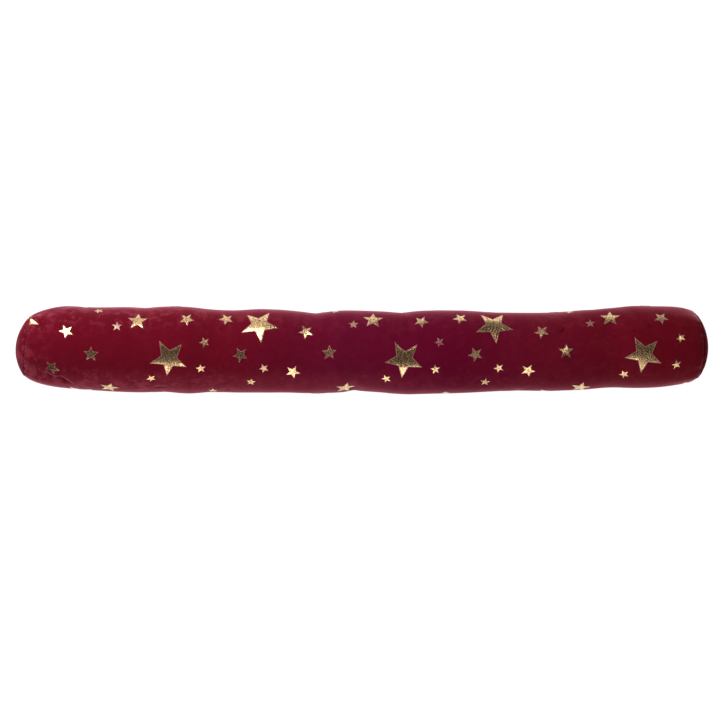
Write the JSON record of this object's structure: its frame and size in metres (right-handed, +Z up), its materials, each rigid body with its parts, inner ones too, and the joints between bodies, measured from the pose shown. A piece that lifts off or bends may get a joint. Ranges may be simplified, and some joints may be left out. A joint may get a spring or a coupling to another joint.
{
  "type": "draught excluder",
  "caption": "Stuffed velvet roll with domed round ends and scattered foil stars, laid along the foot of a door to stop draughts.",
  "frame": {"origin": "middle of the roll's plan, on the floor it rests on", "axes": "+X along the roll, +Y towards the back of the roll (the top of the picture), +Z up"},
  "size_m": [0.9008, 0.1162, 0.108],
  "materials": {
    "velvet": "short pile, wine red, paler at grazing angles",
    "foil": "crackled pale gold foil print"
  },
  "bodies": {
    "root": {"velvet_tube": "velvet", "end_panel_left": "velvet", "end_panel_right": "velvet"}
  },
  "joints": []
}
